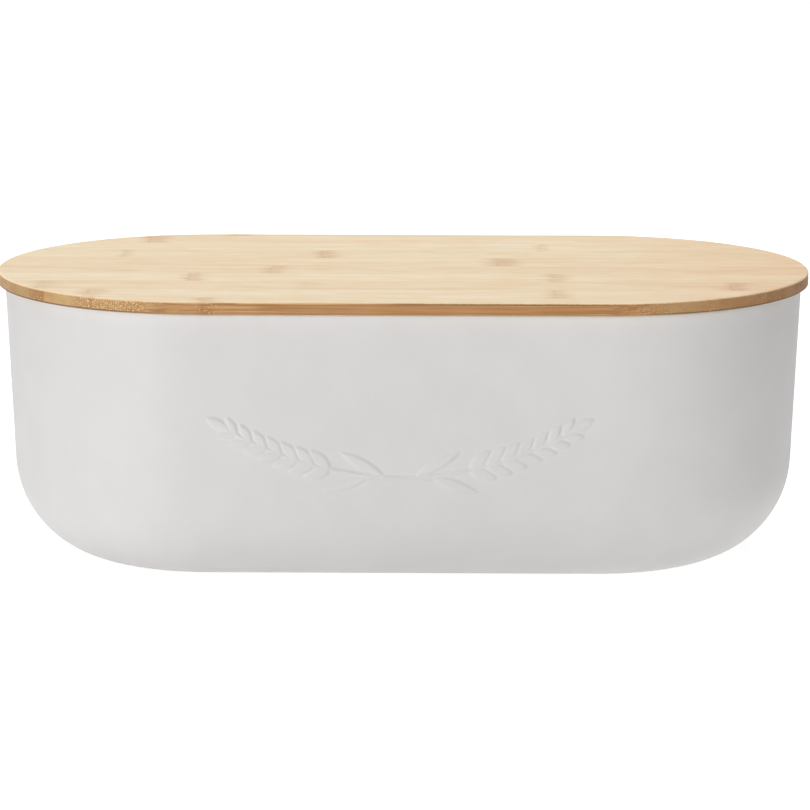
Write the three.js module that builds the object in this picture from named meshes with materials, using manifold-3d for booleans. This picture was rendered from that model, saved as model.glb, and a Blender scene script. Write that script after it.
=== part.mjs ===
// Bread box: a drafted, racetrack-shaped tub in one moulding, and a lift-off bamboo lid.
// The lid is glued up from staves in two plies. The upper ply lies on the rim and stands a little
// past it; the smaller lower ply drops inside the rim and carries a silicone seal in a groove.
// Millimetres, +Z up, +X along the length. The origin is on the standing plane, under the middle.

import * as THREE from "three";
import { mergeVertices } from "three/addons/utils/BufferGeometryUtils.js";
import Module from "manifold-3d";

const wasm = await Module();
wasm.setup();

const { clamp, degToRad } = THREE.MathUtils;

// Overall sizes. Every outline is a racetrack: two half circles joined by straight runs.
const lidLength = 345;
const lidDepth = 180;
const tubHeight = 118;

// Tub moulding.
const lidOverhang = 3; // the lid's edge past the outside of the rim
const tubWall = 2.8;
const tubDraft = degToRad(2.5);
const baseCornerRadius = 44;
const rimEdgeRadius = 1;
const footRingWidth = 7; // flat ring that the tub stands on
const footRise = 0.6; // how far the panel inside the foot ring is raised
const footBevel = 1.2;

// Bamboo plies and their staves.
const upperPlyThickness = 5.4;
const upperPlyTopEase = 0.8;
const upperPlyBottomEase = 0.4;
const lowerPlyThickness = 6;
const lowerPlyEase = 0.8;
const plugClearance = 1.8; // lower ply to the tub's inner wall, at the ply's foot
const glueLine = 0.1;

// Staves of each ply. The front and back ones are trimmed narrower, and their widths are shares of
// a whole one's. The joints of the two plies are half a stave apart.
const upperStaves = { whole: 8, frontShare: 0.56, backShare: 0.26 };
const lowerStaves = { whole: 7, frontShare: 0.68, backShare: 0.37 };

// Groove around the lower ply, and the seal in it.
const grooveBelowUpperPly = 1.6;
const grooveHeight = 2.6;
const grooveDepth = 2.2;
const sealSeatGap = 0.2;
const sealStandOff = 0.3; // web of the seal past the edge of the lower ply
const sealLipThickness = 0.7;
const sealLipRise = 0.5; // the lips lean up towards the wall
const sealWallGap = 0.3;

// Facets.
const endArcSteps = 40; // on each half circle of the racetrack
const cornerArcSteps = 14;
const edgeArcSteps = 3;

const cutOverrun = 5; // how far a cutting solid reaches past what it cuts

// Sizes that follow from the ones above.
const halfRun = (lidLength - lidDepth) / 2;
const lidRadius = lidDepth / 2;
const rimRadius = lidRadius - lidOverhang;
const wallAcross = tubWall / Math.cos(tubDraft); // the drafted wall, measured level
const outerRadiusAt = (z) => rimRadius - (tubHeight - z) * Math.tan(tubDraft);
const innerRadiusAt = (z) => outerRadiusAt(z) - wallAcross;
const footRadius = outerRadiusAt(baseCornerRadius) - baseCornerRadius / Math.cos(tubDraft);
const plugRadius = innerRadiusAt(tubHeight - lowerPlyThickness) - plugClearance;

const melamine = new THREE.MeshStandardMaterial({ color: 0xd9d8d5, roughness: 0.45 });
const bambooFace = new THREE.MeshStandardMaterial({ color: 0xe6cfa8, roughness: 0.6 });
const bambooUnder = new THREE.MeshStandardMaterial({ color: 0xdabf92, roughness: 0.65 });
const silicone = new THREE.MeshStandardMaterial({ color: 0xe9e8e2, roughness: 0.55 });

const at = (radius, height) => new THREE.Vector2(radius, height);

// Points of an arc in the profile plane, from one angle to the other the shorter way.
function arc(centre, radius, fromAngle, toAngle, steps) {
  const clockwise = toAngle < fromAngle;
  const curve = new THREE.EllipseCurve(centre.x, centre.y, radius, radius, fromAngle, toAngle, clockwise);
  return curve.getPoints(steps);
}

// Rounds the corner of a profile between two directions that leave it: an arc tangent to both.
function roundedCorner(corner, before, after, radius, steps) {
  const towardsBefore = before.clone().sub(corner).normalize();
  const towardsAfter = after.clone().sub(corner).normalize();
  const halfAngle = Math.acos(clamp(towardsBefore.dot(towardsAfter), -1, 1)) / 2;
  const bisector = towardsBefore.clone().add(towardsAfter).normalize();
  const centre = corner.clone().addScaledVector(bisector, radius / Math.sin(halfAngle));
  const tangentLength = radius / Math.tan(halfAngle);
  const start = corner.clone().addScaledVector(towardsBefore, tangentLength).sub(centre).angle();
  let end = corner.clone().addScaledVector(towardsAfter, tangentLength).sub(centre).angle();
  if (end - start > Math.PI) end -= 2 * Math.PI;
  if (start - end > Math.PI) end += 2 * Math.PI;
  return arc(centre, radius, start, end, steps);
}

// Carries a profile of (radius, height) points round the racetrack. The profile runs anticlockwise
// round the material, and either starts and ends on the centre line or closes on itself.
function sweepRoundRacetrack(profile) {
  const stations = [];
  for (const [side, firstAngle] of [[1, -Math.PI / 2], [-1, Math.PI / 2]]) {
    for (let step = 0; step <= endArcSteps; step++) {
      const angle = firstAngle + (Math.PI * step) / endArcSteps;
      stations.push({ centreX: side * halfRun, cos: Math.cos(angle), sin: Math.sin(angle) });
    }
  }
  const positions = stations.flatMap((station) =>
    profile.flatMap((p) => [station.centreX + p.x * station.cos, p.x * station.sin, p.y]),
  );
  const index = [];
  stations.forEach((station, i) => {
    const next = (i + 1) % stations.length;
    const sameEnd = stations[next].centreX === station.centreX;
    for (let j = 0; j + 1 < profile.length; j++) {
      const [a, d] = [i * profile.length + j, i * profile.length + j + 1];
      const [b, c] = [next * profile.length + j, next * profile.length + j + 1];
      if (!(sameEnd && profile[j].x === 0)) index.push(a, b, c);
      if (!(sameEnd && profile[j + 1].x === 0)) index.push(a, c, d);
    }
  });
  const geometry = new THREE.BufferGeometry();
  geometry.setAttribute("position", new THREE.Float32BufferAttribute(positions, 3));
  geometry.setIndex(index);
  return mergeVertices(geometry);
}

function toSolid(geometry) {
  const bare = geometry.clone();
  bare.deleteAttribute("normal");
  bare.deleteAttribute("uv");
  const merged = mergeVertices(bare);
  return new wasm.Manifold(
    new wasm.Mesh({
      numProp: 3,
      vertProperties: merged.attributes.position.array,
      triVerts: new Uint32Array(merged.index.array),
    }),
  );
}

function toGeometry(solid) {
  const mesh = solid.getMesh();
  const geometry = new THREE.BufferGeometry();
  geometry.setAttribute("position", new THREE.Float32BufferAttribute(mesh.vertProperties, mesh.numProp));
  geometry.setIndex(new THREE.BufferAttribute(mesh.triVerts, 1));
  return geometry;
}

function namedMesh(name, geometry, material) {
  geometry.computeVertexNormals();
  const mesh = new THREE.Mesh(geometry, material);
  mesh.name = name;
  return mesh;
}

// The tub: a shell of even wall. Its sides lean out by the draft, run into the base on one large
// radius, and end in a rim with both edges rounded. The base stands on a flat foot ring.
function tubProfile() {
  const cornerCentre = at(footRadius, baseCornerRadius);
  const panelRadius = footRadius - footRingWidth;
  const rimOutside = at(rimRadius, tubHeight);
  const rimInside = at(innerRadiusAt(tubHeight), tubHeight);
  const outsideBelow = at(outerRadiusAt(baseCornerRadius), baseCornerRadius);
  const insideBelow = at(innerRadiusAt(baseCornerRadius), baseCornerRadius);
  return [
    at(0, footRise),
    at(panelRadius - footBevel, footRise),
    at(panelRadius, 0),
    ...arc(cornerCentre, baseCornerRadius, -Math.PI / 2, -tubDraft, cornerArcSteps),
    ...roundedCorner(rimOutside, outsideBelow, rimInside, rimEdgeRadius, edgeArcSteps),
    ...roundedCorner(rimInside, rimOutside, insideBelow, rimEdgeRadius, edgeArcSteps),
    ...arc(cornerCentre, baseCornerRadius - tubWall, -tubDraft, -Math.PI / 2, cornerArcSteps),
    at(0, tubWall),
  ];
}

// Upper ply, its underside at height zero.
function upperPlyProfile() {
  const bottomCorner = at(lidRadius, 0);
  const topCorner = at(lidRadius, upperPlyThickness);
  return [
    at(0, 0),
    ...roundedCorner(bottomCorner, at(0, 0), topCorner, upperPlyBottomEase, edgeArcSteps),
    ...roundedCorner(topCorner, bottomCorner, at(0, upperPlyThickness), upperPlyTopEase, edgeArcSteps),
    at(0, upperPlyThickness),
  ];
}

// Lower ply, its upper face at height zero, with the groove for the seal.
function lowerPlyProfile() {
  const grooveRadius = plugRadius - grooveDepth;
  const grooveTop = -grooveBelowUpperPly;
  const grooveFloor = grooveTop - grooveHeight;
  const bottomCorner = at(plugRadius, -lowerPlyThickness);
  return [
    at(0, -lowerPlyThickness),
    ...roundedCorner(bottomCorner, at(0, -lowerPlyThickness), at(plugRadius, 0), lowerPlyEase, edgeArcSteps),
    at(plugRadius, grooveFloor),
    at(grooveRadius, grooveFloor),
    at(grooveRadius, grooveTop),
    at(plugRadius, grooveTop),
    at(plugRadius, 0),
    at(0, 0),
  ];
}

// Seal: a web that fills the groove, and two thin lips that lean up towards the tub's wall.
function sealProfile() {
  const webBottom = -grooveBelowUpperPly - grooveHeight + sealSeatGap;
  const webTop = -grooveBelowUpperPly - sealSeatGap;
  const webInner = plugRadius - grooveDepth + sealSeatGap;
  const webOuter = plugRadius + sealStandOff;
  const lipTip = (height) => at(innerRadiusAt(tubHeight + height) - sealWallGap, height);
  return [
    at(webInner, webBottom),
    at(webOuter, webBottom),
    lipTip(webBottom + sealLipRise),
    lipTip(webBottom + sealLipRise + sealLipThickness),
    at(webOuter, webBottom + sealLipThickness),
    at(webOuter, webTop - sealLipThickness),
    lipTip(webTop - sealLipThickness + sealLipRise),
    lipTip(webTop + sealLipRise),
    at(webOuter, webTop),
    at(webInner, webTop),
    at(webInner, webBottom),
  ];
}

// Where a ply is ripped, from its front edge to its back edge, both included.
function ripLines(plyRadius, { whole, frontShare, backShare }) {
  const wholeWidth = (2 * plyRadius) / (frontShare + whole + backShare);
  const joints = Array.from({ length: whole + 1 }, (_, i) => -plyRadius + (frontShare + i) * wholeWidth);
  return [-plyRadius, ...joints, plyRadius];
}

// Rips a ply into staves that run along X, each a mesh placed by its own middle line.
function ripIntoStaves(name, profile, plyRadius, division, material) {
  const ply = toSolid(sweepRoundRacetrack(profile));
  const heights = profile.map((p) => p.y);
  const [bottom, top] = [Math.min(...heights), Math.max(...heights)];
  const lines = ripLines(plyRadius, division);
  const count = lines.length - 1;
  const staves = new THREE.Group();
  for (let i = 0; i < count; i++) {
    const middle = (lines[i] + lines[i + 1]) / 2;
    const near = i === 0 ? lines[i] - cutOverrun : lines[i] + glueLine / 2;
    const far = i === count - 1 ? lines[i + 1] + cutOverrun : lines[i + 1] - glueLine / 2;
    const slab = new THREE.BoxGeometry(lidLength + 2 * cutOverrun, far - near, top - bottom + 2 * cutOverrun);
    slab.translate(0, (near + far) / 2, (top + bottom) / 2);
    const stave = toGeometry(ply.intersect(toSolid(slab))).translate(0, -middle, 0);
    const mesh = namedMesh(`${name}_${i + 1}`, stave, material);
    mesh.position.y = middle;
    staves.add(mesh);
  }
  return staves;
}

const tub = namedMesh("tub_shell", sweepRoundRacetrack(tubProfile()), melamine);

const lid = new THREE.Group();
lid.add(
  ripIntoStaves("upper_stave", upperPlyProfile(), lidRadius, upperStaves, bambooFace),
  ripIntoStaves("lower_stave", lowerPlyProfile(), plugRadius, lowerStaves, bambooUnder),
  namedMesh("lid_seal", sweepRoundRacetrack(sealProfile()), silicone),
);
lid.position.z = tubHeight; // the upper ply's underside lies on the rim

const breadBox = new THREE.Group();
breadBox.add(tub, lid);

export default breadBox;
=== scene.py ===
"""Looks of a bread box: a moulded tub with a lift-off bamboo lid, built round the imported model.

Lengths are in metres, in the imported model's frame: +X along the box, +Y to the back, +Z up, and the
origin on the standing plane. Fields that hold a size in millimetres are written as a number * MM.
"""

import logging
import math
from abc import ABC, abstractmethod
from collections.abc import Sequence
from dataclasses import dataclass
from enum import Enum

import bmesh
import bpy
import numpy as np
from bpy.types import Material, Node, NodeSocket, NodeTree, Object
from mathutils import Matrix, Vector


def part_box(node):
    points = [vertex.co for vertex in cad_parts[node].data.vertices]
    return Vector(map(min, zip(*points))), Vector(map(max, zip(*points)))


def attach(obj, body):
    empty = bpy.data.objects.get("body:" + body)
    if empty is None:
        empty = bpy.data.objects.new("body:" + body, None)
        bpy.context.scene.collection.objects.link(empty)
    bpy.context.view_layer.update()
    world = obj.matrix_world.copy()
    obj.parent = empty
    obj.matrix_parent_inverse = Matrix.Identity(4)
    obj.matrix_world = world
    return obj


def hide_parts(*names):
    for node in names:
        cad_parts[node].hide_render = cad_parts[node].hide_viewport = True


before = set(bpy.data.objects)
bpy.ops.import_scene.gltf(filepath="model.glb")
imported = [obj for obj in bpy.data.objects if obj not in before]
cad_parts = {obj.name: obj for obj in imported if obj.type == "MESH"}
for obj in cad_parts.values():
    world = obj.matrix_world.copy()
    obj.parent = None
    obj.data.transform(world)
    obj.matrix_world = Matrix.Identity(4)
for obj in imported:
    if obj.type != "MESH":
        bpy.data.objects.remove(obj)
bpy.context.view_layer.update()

MM = 0.001
WELD = 0.001 * MM
SMOOTH_BELOW = math.radians(32)
IMAGE_WIDTH_PX = 810

Point = tuple[float, float]
Colour = tuple[float, float, float, float]
Feed = float | Sequence[float] | NodeSocket

log = logging.getLogger("bread_box")


class Body(Enum):
    """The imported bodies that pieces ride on."""

    TUB = "tub"
    LID = "lid"


class Slot(Enum):
    """The record's material slots."""

    TUB_PLASTIC = "tub_plastic"
    BAMBOO_FACE = "bamboo_face"
    BAMBOO_UNDER = "bamboo_under"
    SEAL_SILICONE = "seal_silicone"


def srgb(red: int, green: int, blue: int) -> Colour:
    """Turns a colour as a screen shows it into the linear colour that shaders take.

    Args:
        red, green, blue: Channels from 0 to 255.

    Returns:
        The linear colour, opaque.
    """
    def linear(channel: int) -> float:
        """One channel, from 0 to 1."""
        share = channel / 255
        return share / 12.92 if share <= 0.04045 else ((share + 0.055) / 1.055) ** 2.4

    return (linear(red), linear(green), linear(blue), 1.0)


# Profiles and outlines


def arc(centre: Point, radius: float, start: float, end: float, steps: int) -> list[Point]:
    """Points of an arc, both ends included.

    Args:
        centre: Middle of the circle.
        radius: Its radius.
        start, end: Angles in radians.
        steps: Number of chords.

    Returns:
        The points in order from start to end.
    """
    return [
        (centre[0] + radius * math.cos(angle), centre[1] + radius * math.sin(angle))
        for angle in np.linspace(start, end, steps + 1)
    ]


def rounded_corner(
    corner: Point, before: Point, after: Point, radius: float, steps: int
) -> list[Point]:
    """Rounds the corner of a profile by an arc tangent to both of its sides.

    Args:
        corner: The sharp corner.
        before, after: Points on the side that comes in and on the side that goes out.
        radius: Radius of the arc.
        steps: Number of chords.

    Returns:
        The arc's points, from the side that comes in to the one that goes out.
    """
    tip = Vector(corner)
    back = (Vector(before) - tip).normalized()
    ahead = (Vector(after) - tip).normalized()
    half_angle = back.angle(ahead) / 2
    centre = tip + (back + ahead).normalized() * (radius / math.sin(half_angle))
    reach = radius / math.tan(half_angle)
    first = tip + back * reach - centre
    last = tip + ahead * reach - centre
    start = math.atan2(first.y, first.x)
    turn = (math.atan2(last.y, last.x) - start + math.pi) % math.tau - math.pi
    return arc((centre.x, centre.y), radius, start, start + turn, steps)


@dataclass(frozen=True)
class Racetrack:
    """Outline of two half circles joined by straight runs, which a profile is carried round.

    Attributes:
        half_run: Half the length of a straight run.
        end_steps: Chords on each half circle.
        front_steps: Columns of faces on the straight run at the front.
    """

    half_run: float
    end_steps: int = 72
    front_steps: int = 1

    def stations(self) -> np.ndarray:
        """Places where the profile stands, anticlockwise from the right end of the front run.

        Returns:
            One row for each: x of the profile's inner end, then the outward direction's x and y.
        """
        angles = np.linspace(-math.pi / 2, math.pi / 2, self.end_steps + 1)
        right = [(self.half_run, math.cos(a), math.sin(a)) for a in angles]
        left = [(-self.half_run, -math.cos(a), -math.sin(a)) for a in angles]
        inner = np.linspace(-self.half_run, self.half_run, self.front_steps + 1)[1:-1]
        front = [(x, 0.0, -1.0) for x in inner]
        return np.array(right + left + front)

    def carry(self, profile: Sequence[Point]) -> np.ndarray:
        """Carries a profile round the outline.

        Args:
            profile: Points of (distance outwards, height), anticlockwise round the material.

        Returns:
            An array of stations by profile points by x, y and z.
        """
        x, out_x, out_y = (column[:, None] for column in self.stations().T)
        distance, height = np.array(profile).T
        rings = np.empty((len(x), len(profile), 3))
        rings[..., 0] = x + distance * out_x
        rings[..., 1] = distance * out_y
        rings[..., 2] = height
        return rings


def skin(rings: np.ndarray) -> bmesh.types.BMesh:
    """Joins rings of points into one closed skin.

    Args:
        rings: An array of stations by profile points by x, y and z. The last station joins the
            first.

    Returns:
        The skin with coinciding points welded and its faces pointing out.
    """
    count, length, _ = rings.shape
    body = bmesh.new()
    points = [[body.verts.new(point) for point in ring] for ring in rings]
    for i in range(count):
        ring, following = points[i], points[(i + 1) % count]
        for j in range(length - 1):
            body.faces.new((ring[j], following[j], following[j + 1], ring[j + 1]))
    bmesh.ops.remove_doubles(body, verts=body.verts, dist=WELD)
    return body


def piece(name: str, body: bmesh.types.BMesh, rides: Body, stands_for: str) -> Object:
    """Makes a finished piece of the object from a built mesh.

    Args:
        name: Name of the piece.
        body: Its mesh, which is freed here.
        rides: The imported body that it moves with.
        stands_for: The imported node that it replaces.

    Returns:
        The piece, shaded smooth but for its sharp edges.
    """
    mesh = bpy.data.meshes.new(name)
    bmesh.ops.dissolve_degenerate(body, dist=WELD, edges=body.edges)
    body.to_mesh(mesh)
    body.free()
    mesh.shade_smooth()
    mesh.set_sharp_from_angle(angle=SMOOTH_BELOW)
    made = bpy.data.objects.new(name, mesh)
    bpy.context.scene.collection.objects.link(made)
    weighted = made.modifiers.new("even_shading", "WEIGHTED_NORMAL")
    weighted.keep_sharp = True
    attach(made, rides.value)
    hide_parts(stands_for)
    log.info("%s: %d faces, rides on %s", name, len(mesh.polygons), rides.value)
    return made


# Shader graphs


class SocketKind(Enum):
    """Kinds of socket on a shader node group."""

    VALUE = "NodeSocketFloat"
    VECTOR = "NodeSocketVector"


@dataclass(frozen=True)
class Noise:
    """A noise texture.

    Attributes:
        scale: Features to a millimetre along X, Y and Z.
        detail: Number of finer layers.
        roughness: How strong the finer layers are.
    """

    scale: tuple[float, float, float]
    detail: float = 2.0
    roughness: float = 0.5


@dataclass(frozen=True)
class Step:
    """A smooth step from one value to another.

    Attributes:
        low, high: Where it begins and ends.
        start, end: The values before and after it.
    """

    low: float
    high: float
    start: float = 0.0
    end: float = 1.0


class Graph:
    """Adds nodes to a node tree, and sets or links what feeds them."""

    def __init__(self, tree: NodeTree) -> None:
        """Keeps the tree that the nodes go into.

        Args:
            tree: A material's or a group's node tree.
        """
        self.tree = tree

    def node(
        self, kind: str, feeds: dict[str | int, Feed] | None = None, **settings: object
    ) -> Node:
        """Adds one node.

        Args:
            kind: The node's type.
            feeds: What goes into its inputs, by name or by place.
            settings: The node's own properties.

        Returns:
            The node.
        """
        made = self.tree.nodes.new(kind)
        for name, value in settings.items():
            setattr(made, name, value)
        for key, feed in (feeds or {}).items():
            self.feed(made.inputs[key], feed)
        return made

    def feed(self, socket: NodeSocket, feed: Feed) -> None:
        """Links a socket to an output, or sets its value.

        Args:
            socket: The input.
            feed: An output socket, a number or a vector.
        """
        if isinstance(feed, NodeSocket):
            self.tree.links.new(feed, socket)
        else:
            socket.default_value = feed

    def math(self, operation: str, *feeds: Feed) -> NodeSocket:
        """The result of a Math node.

        Args:
            operation: The node's operation.
            feeds: Its inputs in order.

        Returns:
            The node's output.
        """
        return self.node("ShaderNodeMath", dict(enumerate(feeds)), operation=operation).outputs[0]

    def scaled(self, vector: Feed, factors: Sequence[float]) -> NodeSocket:
        """A vector with each of its parts multiplied.

        Args:
            vector: The vector.
            factors: What X, Y and Z are multiplied by.

        Returns:
            The product.
        """
        made = self.node("ShaderNodeVectorMath", {0: vector, 1: factors}, operation="MULTIPLY")
        return made.outputs[0]

    def shifted(self, vector: Feed, by: Feed) -> NodeSocket:
        """The sum of two vectors."""
        return self.node("ShaderNodeVectorMath", {0: vector, 1: by}, operation="ADD").outputs[0]

    def parts(self, vector: Feed) -> tuple[NodeSocket, NodeSocket, NodeSocket]:
        """The X, Y and Z of a vector."""
        return tuple(self.node("ShaderNodeSeparateXYZ", {0: vector}).outputs[:3])

    def joined(self, x: Feed, y: Feed, z: Feed) -> NodeSocket:
        """A vector made of three numbers."""
        return self.node("ShaderNodeCombineXYZ", {0: x, 1: y, 2: z}).outputs[0]

    def ramp(
        self, value: Feed, low: Feed, high: Feed, start: Feed = 0.0, end: Feed = 1.0
    ) -> NodeSocket:
        """A smooth step whose settings may be outputs too.

        Args:
            value: What is looked up.
            low, high: Where the step begins and ends.
            start, end: The values before and after the step.

        Returns:
            The stepped value.
        """
        feeds = {"Value": value, "From Min": low, "From Max": high, "To Min": start, "To Max": end}
        made = self.node("ShaderNodeMapRange", feeds, interpolation_type="SMOOTHSTEP")
        return made.outputs["Result"]

    def step(self, value: Feed, step: Step) -> NodeSocket:
        """A value looked up on a smooth step."""
        return self.ramp(value, step.low, step.high, step.start, step.end)

    def between(self, mask: Feed, off: Feed, on: Feed) -> NodeSocket:
        """A value that is one thing where a mask is 0, and another where it is 1."""
        return self.ramp(mask, 0.0, 1.0, off, on)

    def noise(self, position: Feed, noise: Noise) -> NodeSocket:
        """Noise from 0 to 1, about 0.5 in the middle.

        Args:
            position: Where it is read, in millimetres.
            noise: Its size and layers.

        Returns:
            The noise's value.
        """
        feeds = {
            "Vector": self.scaled(position, noise.scale),
            "Scale": 1.0,
            "Detail": noise.detail,
            "Roughness": noise.roughness,
        }
        return self.node("ShaderNodeTexNoise", feeds).outputs[0]

    def cells(self, position: Feed, randomness: float = 1.0) -> Node:
        """Cells about scattered points, one to each unit of the position.

        Args:
            position: Where they are read.
            randomness: How far the points stray from an even grid.

        Returns:
            The node, whose outputs are the distance to a point and a random colour for it.
        """
        feeds = {"Vector": position, "Scale": 1.0, "Randomness": randomness}
        return self.node("ShaderNodeTexVoronoi", feeds)

    def bump(self, height: Feed, strength: float, depth: float) -> NodeSocket:
        """A normal bent by a height.

        Args:
            height: The height, from 0 to about 1.
            strength: How much of the bump shows.
            depth: What a height of 1 stands for.

        Returns:
            The normal.
        """
        feeds = {"Height": height, "Strength": strength, "Distance": depth}
        return self.node("ShaderNodeBump", feeds).outputs["Normal"]

    def mix(self, share: Feed, first: Feed, second: Feed, blend: str = "MIX") -> NodeSocket:
        """A mix of two colours.

        Args:
            share: How much of the second colour there is.
            first, second: The colours.
            blend: The way that they blend.

        Returns:
            The mixed colour.
        """
        made = self.node(
            "ShaderNodeMix", {0: share, 6: first, 7: second}, data_type="RGBA", blend_type=blend
        )
        return made.outputs[2]

    def effect(self, group: NodeTree, feeds: dict[str | int, Feed]) -> dict[str, NodeSocket]:
        """Places a shared group.

        Args:
            group: The group's node tree.
            feeds: What goes into its inputs.

        Returns:
            Its outputs by name.
        """
        made = self.tree.nodes.new("ShaderNodeGroup")
        made.node_tree = group
        for key, feed in feeds.items():
            self.feed(made.inputs[key], feed)
        return {socket.name: socket for socket in made.outputs}


class SharedEffect(ABC):
    """A shader node group that several materials use, built once.

    Attributes:
        name: Its name.
        takes: Its inputs.
        gives: Its outputs.
    """

    name: str
    takes: dict[str, SocketKind]
    gives: dict[str, SocketKind]

    @classmethod
    def group(cls) -> NodeTree:
        """The group, built the first time that it is asked for.

        Returns:
            Its node tree.
        """
        found = bpy.data.node_groups.get(cls.name)
        if found:
            return found
        tree = bpy.data.node_groups.new(cls.name, "ShaderNodeTree")
        for label, kind in cls.takes.items():
            tree.interface.new_socket(label, in_out="INPUT", socket_type=kind.value)
        for label, kind in cls.gives.items():
            tree.interface.new_socket(label, in_out="OUTPUT", socket_type=kind.value)
        graph = Graph(tree)
        entry = graph.node("NodeGroupInput")
        results = cls.build(graph, {socket.name: socket for socket in entry.outputs})
        graph.node("NodeGroupOutput", dict(results))
        return tree

    @classmethod
    @abstractmethod
    def build(cls, graph: Graph, given: dict[str, NodeSocket]) -> dict[str, NodeSocket]:
        """Builds the group's nodes.

        Args:
            graph: Graph of the group.
            given: The group's inputs by name.

        Returns:
            What its outputs give, by name.
        """


class BambooGrain(SharedEffect):
    """Solid grain of a bamboo strip: tone bands, fine fibres and the bundles that show as dots."""

    name = "bamboo_grain"
    takes = {
        "Position": SocketKind.VECTOR,
        "Seed": SocketKind.VALUE,
        "Bundle Pitch": SocketKind.VALUE,
        "Squeeze": SocketKind.VALUE,
        "Crowding": SocketKind.VALUE,
    }
    gives = {
        "Bands": SocketKind.VALUE,
        "Fibres": SocketKind.VALUE,
        "Cores": SocketKind.VALUE,
        "Rings": SocketKind.VALUE,
        "Streaks": SocketKind.VALUE,
        "Pale Streaks": SocketKind.VALUE,
        "Mottle": SocketKind.VALUE,
    }

    OFFSET_PER_SEED_MM = (137.0, 61.0, 29.0)
    DRIFT = Noise((0.012, 0.06, 0.06), detail=1.0)
    WANDER_MM = 1.2
    BANDS = Noise((0.018, 0.16, 0.16))
    BAND_STEP = Step(0.2, 0.8)
    FIBRES = Noise((0.035, 2.3, 2.3), roughness=0.6)
    FIBRE_STEP = Step(0.25, 0.75)
    STREAKS = Noise((0.016, 1.0, 1.5))
    DARK_STREAK_STEP = Step(0.52, 0.64)
    PALE_STREAK_STEP = Step(0.3, 0.42, 1.0, 0.0)
    MOTTLE = Noise((0.08, 0.12, 0.12), roughness=0.6)
    MOTTLE_STEP = Step(0.3, 0.7)
    SCATTER = Noise((0.008, 0.07, 0.12), detail=1.0)
    SCATTER_STEP = Step(0.42, 0.6, 0.08, 0.4)
    BUNDLES_PER_MM_ALONG = 0.014
    BUNDLE_RANDOMNESS = 0.6
    CORE_STEP = Step(0.22, 0.38, 1.0, 0.0)
    RING_STEP = Step(0.28, 0.44)

    @classmethod
    def build(cls, graph: Graph, given: dict[str, NodeSocket]) -> dict[str, NodeSocket]:
        """Builds the grain, which runs along X. The position is in millimetres.

        Args:
            graph: Graph of the group.
            given: The group's inputs by name.

        Returns:
            Bands, fibres, the bundles' cores and rings, dark and pale streaks, and a mottle,
            each from 0 to 1.
        """
        seed = given["Seed"]
        offset = [graph.math("MULTIPLY", seed, shift) for shift in cls.OFFSET_PER_SEED_MM]
        place = graph.shifted(given["Position"], graph.joined(*offset))
        drift = graph.math("SUBTRACT", graph.noise(place, cls.DRIFT), 0.5)
        wander = graph.math("MULTIPLY", drift, cls.WANDER_MM)
        place = graph.shifted(place, graph.joined(0.0, wander, wander))
        streaks = graph.noise(place, cls.STREAKS)
        per_mm = graph.math("DIVIDE", 1.0, given["Bundle Pitch"])
        x, y, z = graph.parts(place)
        bundles = graph.joined(
            graph.math("MULTIPLY", x, cls.BUNDLES_PER_MM_ALONG),
            graph.math("MULTIPLY", y, graph.math("MULTIPLY", per_mm, given["Squeeze"])),
            graph.math("MULTIPLY", z, per_mm),
        )
        away = graph.cells(bundles, cls.BUNDLE_RANDOMNESS).outputs["Distance"]
        scattered = graph.step(graph.noise(place, cls.SCATTER), cls.SCATTER_STEP)
        zone = graph.math("MAXIMUM", scattered, given["Crowding"])
        return {
            "Bands": graph.step(graph.noise(place, cls.BANDS), cls.BAND_STEP),
            "Fibres": graph.step(graph.noise(place, cls.FIBRES), cls.FIBRE_STEP),
            "Cores": graph.math("MULTIPLY", zone, graph.step(away, cls.CORE_STEP)),
            "Rings": graph.math("MULTIPLY", zone, graph.step(away, cls.RING_STEP)),
            "Streaks": graph.step(streaks, cls.DARK_STREAK_STEP),
            "Pale Streaks": graph.step(streaks, cls.PALE_STREAK_STEP),
            "Mottle": graph.step(graph.noise(place, cls.MOTTLE), cls.MOTTLE_STEP),
        }


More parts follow.
